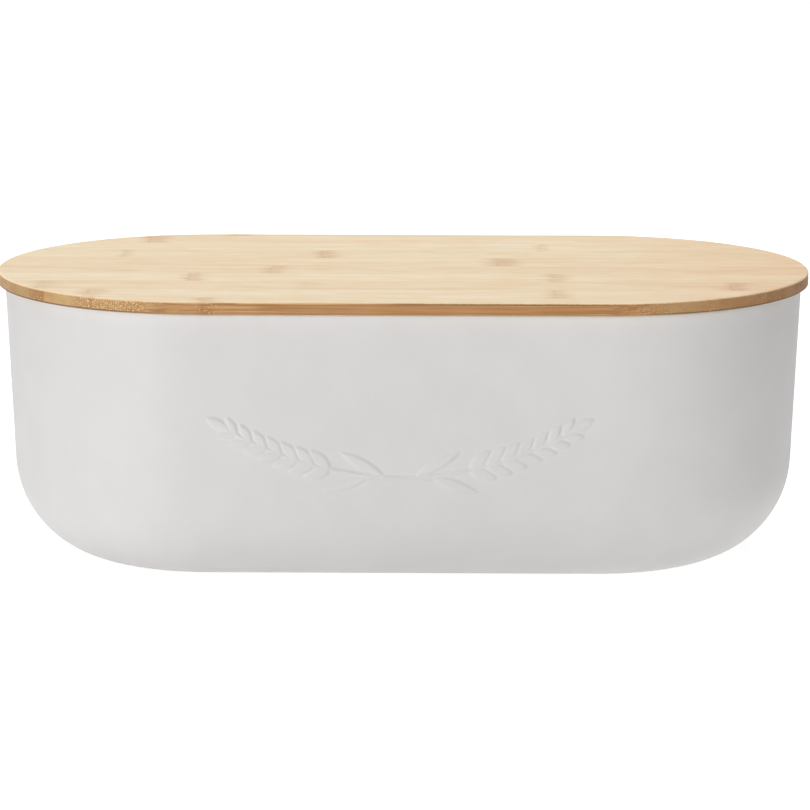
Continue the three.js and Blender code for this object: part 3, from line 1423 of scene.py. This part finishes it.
@dataclass
class Tub:
    """The tub: one moulding with an even wall, drafted sides, a large base radius and a foot ring.

    Attributes:
        node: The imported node.
        overhang: The lid's edge past the outside of the rim.
        wall: Thickness of the wall.
        draft: How far the sides lean out.
        base_radius: Radius between the sides and the base.
        rim_edge_radius: Radius of both edges of the rim.
        foot_width: Width of the flat ring that the tub stands on.
        foot_rise: How far the panel inside the ring is raised.
        foot_bevel: Width of the slope between them.
        relief_height: Height of the relief's middle.
        relief: The raised ornament.
        base_steps, inner_steps: Chords on the outside and the inside of the base radius.
        edge_steps, wall_steps: Chords on an edge and up the wall.
    """

    node: str = "tub_shell"
    overhang: float = 3 * MM
    wall: float = 2.8 * MM
    draft: float = math.radians(2.5)
    base_radius: float = 44 * MM
    rim_edge_radius: float = 1 * MM
    foot_width: float = 7 * MM
    foot_rise: float = 0.6 * MM
    foot_bevel: float = 1.2 * MM
    relief_height: float = 60 * MM
    relief: WheatRelief = WheatRelief()
    base_steps: int = 48
    inner_steps: int = 28
    edge_steps: int = 6
    wall_steps: int = 6

    WALL_END_RADII = 1.2

    def __post_init__(self) -> None:
        """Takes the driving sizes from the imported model."""
        _, lid_high = lid_box()
        self.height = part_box(self.node)[1].z
        self.rim_radius = lid_high.y - self.overhang
        self.half_run = lid_high.x - lid_high.y
        self.foot_radius = self.outside(self.base_radius) - self.base_radius / math.cos(self.draft)

    def outside(self, height: float) -> float:
        """Distance of the wall's outside from the middle line, at a height on the drafted part."""
        return self.rim_radius - (self.height - height) * math.tan(self.draft)

    def inside(self, height: float) -> float:
        """Distance of the wall's inside from the middle line, at a height on the drafted part."""
        return self.outside(height) - self.wall / math.cos(self.draft)

    def outer_wall(self, climbs: np.ndarray) -> tuple[np.ndarray, np.ndarray]:
        """The outside of the tub from the foot ring up to the rim.

        Args:
            climbs: Distances up the surface, from where the base radius runs into the wall.

        Returns:
            Points of the profile, and the outward direction at each.
        """
        on_arc = np.minimum(climbs, 0) / self.base_radius - self.draft
        out = np.stack([np.cos(on_arc), np.sin(on_arc)], axis=1)
        points = np.array([self.foot_radius, self.base_radius]) + self.base_radius * out
        straight = np.maximum(climbs, 0)[:, None]
        return points + straight * np.array([math.sin(self.draft), math.cos(self.draft)]), out

    def wall_climbs(self) -> tuple[np.ndarray, np.ndarray]:
        """Where the rows of the outer wall lie: finely over the relief, and coarsely elsewhere.

        Returns:
            All the rows, and those over the relief measured from its middle.
        """
        lowest = -self.base_radius * (math.pi / 2 - self.draft)
        wall_start = self.base_radius * (1 - math.sin(self.draft))
        to_rim = (self.height - wall_start) / math.cos(self.draft)
        highest = to_rim - self.WALL_END_RADII * self.rim_edge_radius
        middle = (self.relief_height - wall_start) / math.cos(self.draft)
        reach = self.relief.half_height
        rows = round(2 * reach / self.relief.row_step)
        over_relief = np.linspace(-reach, reach, rows + 1)
        below = np.linspace(lowest, middle - reach, self.base_steps + 1)[:-1]
        above = np.linspace(middle + reach, highest, self.wall_steps + 1)[1:]
        return np.concatenate([below, middle + over_relief, above]), over_relief

    def build(self) -> Object:
        """Builds the tub and dresses it.

        Returns:
            The tub.
        """
        climbs, over_relief = self.wall_climbs()
        wall, out = self.outer_wall(climbs)
        panel = self.foot_radius - self.foot_width
        rim_outside = (self.rim_radius, self.height)
        rim_inside = (self.inside(self.height), self.height)
        below = (self.inside(self.base_radius), self.base_radius)
        inner_radius = self.base_radius - self.wall
        centre = (self.foot_radius, self.base_radius)
        base = [(0.0, self.foot_rise), (panel - self.foot_bevel, self.foot_rise), (panel, 0.0)]
        profile = base + [tuple(point) for point in wall]
        profile += rounded_corner(
            rim_outside, tuple(wall[-1]), rim_inside, self.rim_edge_radius, self.edge_steps
        )
        profile += rounded_corner(
            rim_inside, rim_outside, below, self.rim_edge_radius, self.edge_steps
        )
        profile += arc(centre, inner_radius, -self.draft, -math.pi / 2, self.inner_steps)
        profile += [(0.0, self.wall)]

        columns = round(2 * self.half_run / self.relief.row_step)
        track = Racetrack(self.half_run, front_steps=columns)
        rings = track.carry(profile)
        stations = track.stations()
        at_front = np.flatnonzero((stations[:, 1] == 0) & (stations[:, 2] == -1))
        first = len(base) + self.base_steps
        rows = slice(first, first + len(over_relief))
        u, v = np.meshgrid(stations[at_front, 0], over_relief, indexing="ij")
        lift = self.relief.heights(u, v)
        direction = out[self.base_steps : self.base_steps + len(over_relief)]
        rings[at_front, rows, 1] -= lift * direction[:, 0]
        rings[at_front, rows, 2] += lift * direction[:, 1]

        made = piece("tub_moulding", skin(rings), Body.TUB, self.node)
        made.data.materials.append(MelamineFinish(self.height).material())
        return made


def lid_box() -> tuple[Vector, Vector]:
    """The box of the lid's upper ply.

    Returns:
        Its lowest and highest corners.
    """
    boxes = [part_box(name) for name in sorted(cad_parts) if name.startswith("upper_stave_")]
    lows, highs = zip(*boxes)
    return Vector(map(min, *lows)), Vector(map(max, *highs))


class Keep(Enum):
    """Which part of a cut board is kept."""

    FRONT = 1
    BACK = -1


@dataclass
class Ply(ABC):
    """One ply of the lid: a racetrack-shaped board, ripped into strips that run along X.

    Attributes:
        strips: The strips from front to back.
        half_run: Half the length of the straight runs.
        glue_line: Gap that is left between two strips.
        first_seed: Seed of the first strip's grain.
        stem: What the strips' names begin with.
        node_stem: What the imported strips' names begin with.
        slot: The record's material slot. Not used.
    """

    strips: Sequence[Strip]
    half_run: float
    glue_line: float = 0.03 * MM
    first_seed: float = 1.0
    stem: str = ""
    node_stem: str = ""
    slot: Slot = Slot.BAMBOO_FACE

    @abstractmethod
    def profile(self) -> list[Point]:
        """The board's profile.

        Returns:
            Its points, from the middle line round the board's edge and back.
        """

    def build(self) -> list[Object]:
        """Builds and dresses the ply's strips.

        Returns:
            The strips from front to back.
        """
        board = skin(Racetrack(self.half_run).carry(self.profile()))
        made = []
        edges = self.edges()
        for i, strip in enumerate(self.strips):
            low, high = edges[i], edges[i + 1]
            body = board.copy()
            if i > 0:
                self.cut(body, low + self.glue_line / 2, Keep.BACK)
            if i < len(self.strips) - 1:
                self.cut(body, high - self.glue_line / 2, Keep.FRONT)
            number = i + 1
            name = f"{self.stem}_{number}"
            dressed = piece(name, body, Body.LID, f"{self.node_stem}_{number}")
            joints = [edge / MM for edge in edges[1:-1] if edge in (low, high)]
            bottom, top = (corner.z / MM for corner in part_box(f"{self.node_stem}_{number}"))
            finish = BambooFinish(name, strip, self.first_seed + i, joints, bottom, top)
            dressed.data.materials.append(finish.material())
            made.append(dressed)
        board.free()
        return made

    def edges(self) -> list[float]:
        """Where the ply is cut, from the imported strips.

        Returns:
            Y of its front edge, its glue lines and its back edge.
        """
        boxes = [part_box(f"{self.node_stem}_{i + 1}") for i in range(len(self.strips))]
        lines = [(before[1].y + after[0].y) / 2 for before, after in zip(boxes, boxes[1:])]
        return [boxes[0][0].y, *lines, boxes[-1][1].y]

    @staticmethod
    def cut(body: bmesh.types.BMesh, y: float, keep: Keep) -> None:
        """Cuts a board along X and closes the cut.

        Args:
            body: The board.
            y: Where it is cut.
            keep: What is kept of it.
        """
        everything = [*body.verts, *body.edges, *body.faces]
        cut = bmesh.ops.bisect_plane(
            body,
            geom=everything,
            dist=WELD,
            plane_co=(0, y, 0),
            plane_no=(0, keep.value, 0),
            clear_outer=True,
        )
        rim = [item for item in cut["geom_cut"] if isinstance(item, bmesh.types.BMEdge)]
        bmesh.ops.edgenet_fill(body, edges=rim)
        bmesh.ops.recalc_face_normals(body, faces=body.faces)


@dataclass
class UpperPly(Ply):
    """The ply that shows: it lies on the rim, with its edges eased.

    Attributes:
        radius: Half its depth.
        low, high: Heights of its faces.
        top_ease, bottom_ease: Radii of its edges.
        ease_steps: Chords on an edge.
    """

    radius: float = 0.0
    low: float = 0.0
    high: float = 0.0
    top_ease: float = 0.8 * MM
    bottom_ease: float = 0.4 * MM
    ease_steps: int = 6

    def profile(self) -> list[Point]:
        """The board's profile.

        Returns:
            Its points, from the middle line round the board's edge and back.
        """
        bottom, top = (self.radius, self.low), (self.radius, self.high)
        return [
            (0.0, self.low),
            *rounded_corner(bottom, (0.0, self.low), top, self.bottom_ease, self.ease_steps),
            *rounded_corner(top, bottom, (0.0, self.high), self.top_ease, self.ease_steps),
            (0.0, self.high),
        ]


@dataclass
class LowerPly(Ply):
    """The smaller ply that drops inside the rim, with a groove for the seal.

    Attributes:
        radius: Half its depth.
        low, high: Heights of its faces.
        ease: Radius of its lower edge.
        groove_below: From its upper face down to the groove.
        groove_height, groove_depth: Size of the groove.
        ease_steps: Chords on the edge.
    """

    radius: float = 0.0
    low: float = 0.0
    high: float = 0.0
    ease: float = 0.8 * MM
    groove_below: float = 1.6 * MM
    groove_height: float = 2.6 * MM
    groove_depth: float = 2.2 * MM
    ease_steps: int = 6

    def profile(self) -> list[Point]:
        """The board's profile.

        Returns:
            Its points, from the middle line round the board's edge and back.
        """
        bottom, top = (self.radius, self.low), (self.radius, self.high)
        groove_top = self.high - self.groove_below
        groove_floor = groove_top - self.groove_height
        return [
            (0.0, self.low),
            *rounded_corner(bottom, (0.0, self.low), top, self.ease, self.ease_steps),
            (self.radius, groove_floor),
            (self.radius - self.groove_depth, groove_floor),
            (self.radius - self.groove_depth, groove_top),
            (self.radius, groove_top),
            top,
            (0.0, self.high),
        ]


@dataclass
class Seal:
    """The silicone ring: a web in the groove, and two lips that lean up towards the tub's wall.

    Attributes:
        tub: The tub that it seals against.
        ply: The ply whose groove holds it.
        node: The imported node.
        seat_gap: From the web to the groove's walls.
        stand_off: The web's edge past the ply's.
        lip_thickness: Thickness of a lip at its root.
        tip_thickness: Thickness of a lip at its tip.
        lip_rise: How far a lip's tip lies above its root.
        wall_gap: From a lip's tip to the tub's wall.
        tip_steps: Chords round a lip's tip.
    """

    tub: Tub
    ply: LowerPly
    node: str = "lid_seal"
    seat_gap: float = 0.2 * MM
    stand_off: float = 0.3 * MM
    lip_thickness: float = 0.7 * MM
    tip_thickness: float = 0.5 * MM
    lip_rise: float = 0.5 * MM
    wall_gap: float = 0.3 * MM
    tip_steps: int = 6

    def lip(self, root: float) -> list[Point]:
        """One lip, from its underside at the web round its tip to its upper side.

        Args:
            root: Height of the lip's underside at the web.

        Returns:
            Points of the profile.
        """
        web = self.ply.radius + self.stand_off
        radius = self.tip_thickness / 2
        height = root + self.lip_rise + self.lip_thickness / 2
        reach = self.tub.inside(height) - self.wall_gap - radius
        tip = arc((reach, height), radius, -math.pi / 2, math.pi / 2, self.tip_steps)
        return [(web, root), *tip, (web, root + self.lip_thickness)]

    def build(self) -> Object:
        """Builds the seal and dresses it.

        Returns:
            The seal.
        """
        top = self.ply.high - self.ply.groove_below - self.seat_gap
        bottom = top - self.ply.groove_height + 2 * self.seat_gap
        inner = self.ply.radius - self.ply.groove_depth + self.seat_gap
        profile = [(inner, bottom), *self.lip(bottom), *self.lip(top - self.lip_thickness)]
        profile += [(inner, top), (inner, bottom)]
        body = skin(Racetrack(self.ply.half_run).carry(profile))
        made = piece("seal_ring", body, Body.LID, self.node)
        made.data.materials.append(SiliconeFinish().material())
        return made


@dataclass
class Lid:
    """The lift-off lid: two plies of bamboo strips, and the seal round the lower one.

    Attributes:
        tub: The tub that it closes.
        face_strips: Strips of the upper ply from front to back, as they show.
        under_strips: Strips of the lower ply from front to back.
    """

    tub: Tub
    # Darker stretches past X = 90 mm are painted shade on the lid's right end.
    face_strips: tuple[Strip, ...] = (
        Strip(
            BambooTone.STRAW,
            (Knot(-79.0),),
            crowds=(Stretch(-145.0, -98.0, 12.0), Stretch(-84.0, -74.0, 4.0)),
            dark_lines=(Stretch(-79.0, -64.0, 5.0), Stretch(-12.0, 98.0, 20.0)),
            darker=(Stretch(-104.0, -82.0, 8.0, 0.1), Stretch(92.0, 160.0, 16.0, 0.25)),
            paler=(
                Stretch(-106.0, -54.0, 12.0, 0.2),
                Stretch(-78.0, -54.0, 6.0, 0.35),
                Stretch(-46.0, -2.0, 12.0, 0.3),
            ),
            squeeze=2.3,
        ),
        Strip(
            BambooTone.CREAM,
            (Knot(65.0), Knot(-127.0, 0.7)),
            crowds=(Stretch(-137.0, -92.0, 6.0), Stretch(-153.0, -147.2, 0.5)),
            darker=(Stretch(-153.0, -147.2, 0.5, 0.36), Stretch(112.0, 200.0, 30.0, 0.36)),
        ),
        Strip(
            BambooTone.HONEY,
            (Knot(139.0, 1.0), Knot(-149.0, 0.5), Knot(-38.0, 0.2)),
            crowds=(Stretch(-153.6, -140.0, 1.2),),
            darker=(
                Stretch(-153.2, -140.0, 1.0, 0.33),
                Stretch(-172.0, -140.0, 2.0, 0.28),
                Stretch(140.0, 200.0, 5.0, 0.55),
            ),
            squeeze=0.8,
        ),
        Strip(
            BambooTone.CREAM,
            (Knot(-88.0, 0.9), Knot(65.0, 0.7)),
            darker=(Stretch(-175.0, -140.0, 2.0, 0.25), Stretch(140.0, 200.0, 5.0, 0.72)),
        ),
        Strip(BambooTone.HONEY, (Knot(-54.0, 0.7),), darker=(Stretch(140.0, 200.0, 5.0, 0.55),)),
        Strip(BambooTone.PEACH, (Knot(43.0, 1.0, 12.0),)),
        Strip(BambooTone.STRAW, (Knot(-34.0, 1.0), Knot(-121.0, 0.5, 5.0))),
        Strip(BambooTone.CREAM, (Knot(60.0, 0.5, 5.0),)),
        Strip(BambooTone.PEACH, (Knot(-111.0, 0.9, 11.0),)),
        Strip(BambooTone.HONEY, (Knot(-75.0, 1.0),)),
    )
    under_strips: tuple[Strip, ...] = (
        Strip(BambooTone.STRAW, (Knot(24.0),)),
        Strip(BambooTone.PEACH, (Knot(-101.0), Knot(118.0, 0.6))),
        Strip(BambooTone.STRAW, (Knot(-18.0, 0.9),)),
        Strip(BambooTone.CREAM, (Knot(83.0, 0.7),)),
        Strip(BambooTone.HONEY, (Knot(-64.0, 1.0),)),
        Strip(BambooTone.STRAW, (Knot(131.0), Knot(-140.0, 0.6))),
        Strip(BambooTone.PEACH, (Knot(6.0, 0.9),)),
        Strip(BambooTone.CREAM, (Knot(-47.0, 0.7),)),
        Strip(BambooTone.HONEY, (Knot(72.0),)),
    )

    def build(self) -> list[Object]:
        """Builds and dresses the lid.

        Returns:
            Its pieces.
        """
        low, high = lid_box()
        upper = UpperPly(
            self.face_strips,
            self.tub.half_run,
            first_seed=1.0,
            stem="top_strip",
            node_stem="upper_stave",
            slot=Slot.BAMBOO_FACE,
            radius=high.y,
            low=low.z,
            high=high.z,
        )
        plug_low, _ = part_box("lower_stave_1")
        lower = LowerPly(
            self.under_strips,
            self.tub.half_run,
            first_seed=31.0,
            stem="under_strip",
            node_stem="lower_stave",
            slot=Slot.BAMBOO_UNDER,
            radius=-plug_low.y,
            low=plug_low.z,
            high=low.z,
        )
        return [*upper.build(), *lower.build(), Seal(self.tub, lower).build()]


# The studio


@dataclass
class StudioLamp:
    """A soft lamp that the camera doesn't see.

    Attributes:
        name: Its name.
        place: Where it stands.
        size: Side of its square.
        watts: Its power.
    """

    name: str
    place: tuple[float, float, float]
    size: float
    watts: float

    def build(self, aim: Vector) -> Object:
        """Builds the lamp.

        Args:
            aim: The point that it faces.

        Returns:
            The lamp.
        """
        data = bpy.data.lights.new(self.name, "AREA")
        data.shape = "SQUARE"
        data.size = self.size
        data.energy = self.watts
        lamp = bpy.data.objects.new(self.name, data)
        lamp.location = self.place
        lamp.rotation_euler = (aim - Vector(self.place)).to_track_quat("-Z", "Y").to_euler()
        lamp.visible_camera = False
        bpy.context.scene.collection.objects.link(lamp)
        log.info("%s: %.0f W", self.name, self.watts)
        return lamp


@dataclass(frozen=True)
class Bounce:
    """Light that the floor sends up at the box, uneven as cards and shades round it make it.

    Attributes:
        near_left, near_right: Its strength close to the box, on each side.
        far_left, far_right: Its strength farther off.
        turns: The stretch of X over which the left turns into the right.
        shade_in, shade_out: The stretches of X over which the shade in front begins and ends.
        leaves: The distances from the middle line over which near turns into far.
        ends: The distances from the middle line over which the light ends.
        front: The stretch of Y over which the front turns into the back.
    """

    near_left: float = 0.25
    near_right: float = 0.51
    far_left: float = 0.255
    far_right: float = 0.43
    turns: tuple[float, float] = (0.05, 0.2)
    shade_in: tuple[float, float] = (-0.2, 0.04)
    shade_out: tuple[float, float] = (0.11, 0.15)
    leaves: tuple[float, float] = (0.07, 0.12)
    ends: tuple[float, float] = (0.45, 0.6)
    front: tuple[float, float] = (-0.02, 0.02)

    def strength(self, graph: Graph, place: Feed, half_run: float) -> NodeSocket:
        """The light's strength at a place on the floor.

        Args:
            graph: Graph of the floor's material.
            place: The place, in metres.
            half_run: Half the length of the box's middle line.

        Returns:
            The strength.
        """
        x, y, _ = graph.parts(place)
        past_run = graph.math("SUBTRACT", graph.math("ABSOLUTE", x), half_run)
        offset = graph.joined(graph.math("MAXIMUM", past_run, 0.0), y, 0.0)
        away = graph.node("ShaderNodeVectorMath", {0: offset}, operation="LENGTH").outputs["Value"]
        in_front = graph.math(
            "MAXIMUM",
            graph.ramp(x, *self.shade_in, self.far_left, 0.0),
            graph.ramp(x, *self.shade_out, 0.0, self.far_right),
        )
        behind = graph.ramp(x, *self.turns, self.far_left, self.far_right)
        far = graph.ramp(y, *self.front, in_front, behind)
        near = graph.ramp(x, *self.turns, self.near_left, self.near_right)
        light = graph.ramp(away, *self.leaves, near, far)
        return graph.math("MULTIPLY", light, graph.ramp(away, *self.ends, 1.0, 0.0))


@dataclass
class Studio:
    """White studio: a pale floor, soft lamps, an even world and the photograph's camera.

    Attributes:
        half_run: Half the length of the box's middle line.
        floor_size: Side of the floor.
        floor_drop: How far the floor lies below the foot, so that the two don't coincide.
        floor_show: Light that the floor sends to rays that show it.
        bounce: Light that the floor sends to the box.
        world_strength: Light that comes evenly from all round.
        lamps: The lamps.
        target: The point in the middle of the image.
        distance: From the camera to the target.
        elevation: How far the camera looks down.
        turn: How far the camera is swung round the box, to the right.
        roll: How far the image leans clockwise.
        focal_px: Focal length in pixels of the image.
        sensor: Width of the sensor in millimetres.
    """

    half_run: float
    floor_size: float = 14.0
    floor_drop: float = 0.1 * MM
    floor_show: float = 0.66
    bounce: Bounce = Bounce()
    world_strength: float = 0.045
    lamps: tuple[StudioLamp, ...] = (
        StudioLamp("key_left", (-1.75, -2.22, 0.5), 0.8, 23.4),
        StudioLamp("front", (-0.4, -3.2, 1.5), 1.6, 34.4),
        StudioLamp("top_left", (-0.7, 0.4, 2.5), 1.8, 21.6),
        StudioLamp("top_right", (0.4, 0.6, 2.6), 1.8, 29.6),
        StudioLamp("back_left", (-1.7, 2.3, 1.5), 1.4, 8.0),
    )
    target: tuple[float, float, float] = (0.92 * MM, 0.0, 63.4 * MM)
    distance: float = 1.8465
    elevation: float = math.radians(11.12)
    turn: float = math.radians(0.8)
    roll: float = math.radians(0.074)
    focal_px: float = 4301.8
    sensor: float = 36.0

    FLOOR_PAINT = srgb(232, 232, 232)
    FLOOR_ROUGHNESS = 0.9
    FLOOR_SHINE = 0.1
    WHITE = srgb(255, 255, 255)
    CLIP_START, CLIP_END = 0.1, 50.0

    def build(self) -> None:
        """Builds the floor, the world, the lamps and the camera."""
        self.floor()
        self.world()
        for lamp in self.lamps:
            lamp.build(Vector(self.target))
        self.camera()

    def seen(self, graph: Graph) -> NodeSocket:
        """1 for rays that show the surroundings: from the camera, by reflection or through glass.

        Args:
            graph: Graph of a material or of the world.

        Returns:
            The mask.
        """
        paths = graph.node("ShaderNodeLightPath").outputs
        glossy = graph.math("MAXIMUM", paths["Is Camera Ray"], paths["Is Glossy Ray"])
        return graph.math("MAXIMUM", glossy, paths["Is Transmission Ray"])

    def floor(self) -> Object:
        """Builds the floor, which shows white but keeps the shadow on it.

        Returns:
            The floor.
        """
        body = bmesh.new()
        bmesh.ops.create_grid(body, x_segments=2, y_segments=2, size=self.floor_size / 2)
        mesh = bpy.data.meshes.new("floor")
        body.to_mesh(mesh)
        body.free()
        made = bpy.data.objects.new("floor", mesh)
        made.location.z = -self.floor_drop
        bpy.context.scene.collection.objects.link(made)
        material, graph, shader = new_material("floor_paint")
        shader.inputs["Base Color"].default_value = self.FLOOR_PAINT
        shader.inputs["Roughness"].default_value = self.FLOOR_ROUGHNESS
        shader.inputs["Specular IOR Level"].default_value = self.FLOOR_SHINE
        place = graph.node("ShaderNodeTexCoord").outputs["Object"]
        bounce = self.bounce.strength(graph, place, self.half_run)
        strength = graph.between(self.seen(graph), bounce, self.floor_show)
        glow = graph.node("ShaderNodeEmission", {"Strength": strength})
        both = graph.node(
            "ShaderNodeAddShader", {0: shader.outputs["BSDF"], 1: glow.outputs["Emission"]}
        )
        graph.feed(material.node_tree.nodes["Material Output"].inputs["Surface"], both.outputs[0])
        mesh.materials.append(material)
        return made

    def world(self) -> None:
        """Lights the scene evenly, and shows white where nothing else is seen."""
        world = bpy.data.worlds.new("studio")
        world.use_nodes = True
        bpy.context.scene.world = world
        graph = Graph(world.node_tree)
        background = world.node_tree.nodes["Background"]
        background.inputs["Color"].default_value = self.WHITE
        strength = graph.between(self.seen(graph), self.world_strength, 1.0)
        graph.feed(background.inputs["Strength"], strength)

    def camera(self) -> Object:
        """Places the camera of the photograph.

        Returns:
            The camera.
        """
        data = bpy.data.cameras.new("camera")
        data.sensor_width = self.sensor
        data.lens = self.sensor * self.focal_px / IMAGE_WIDTH_PX
        data.clip_start, data.clip_end = self.CLIP_START, self.CLIP_END
        made = bpy.data.objects.new("camera", data)
        bpy.context.scene.collection.objects.link(made)
        swing = Matrix.Rotation(self.turn, 4, "Z")
        tilt = Matrix.Rotation(math.pi / 2 - self.elevation, 4, "X")
        lean = Matrix.Rotation(self.roll, 4, "Z")
        back = Matrix.Translation((0, 0, self.distance))
        made.matrix_world = Matrix.Translation(self.target) @ swing @ tilt @ lean @ back
        bpy.context.scene.camera = made
        return made


def main() -> None:
    """Builds the box and the studio round it."""
    logging.basicConfig(level=logging.INFO, format="%(name)s: %(message)s")
    bpy.context.scene.view_settings.view_transform = "Standard"
    tub = Tub()
    tub.build()
    Lid(tub).build()
    Studio(tub.half_run).build()


if __name__ == "__main__":
    main()
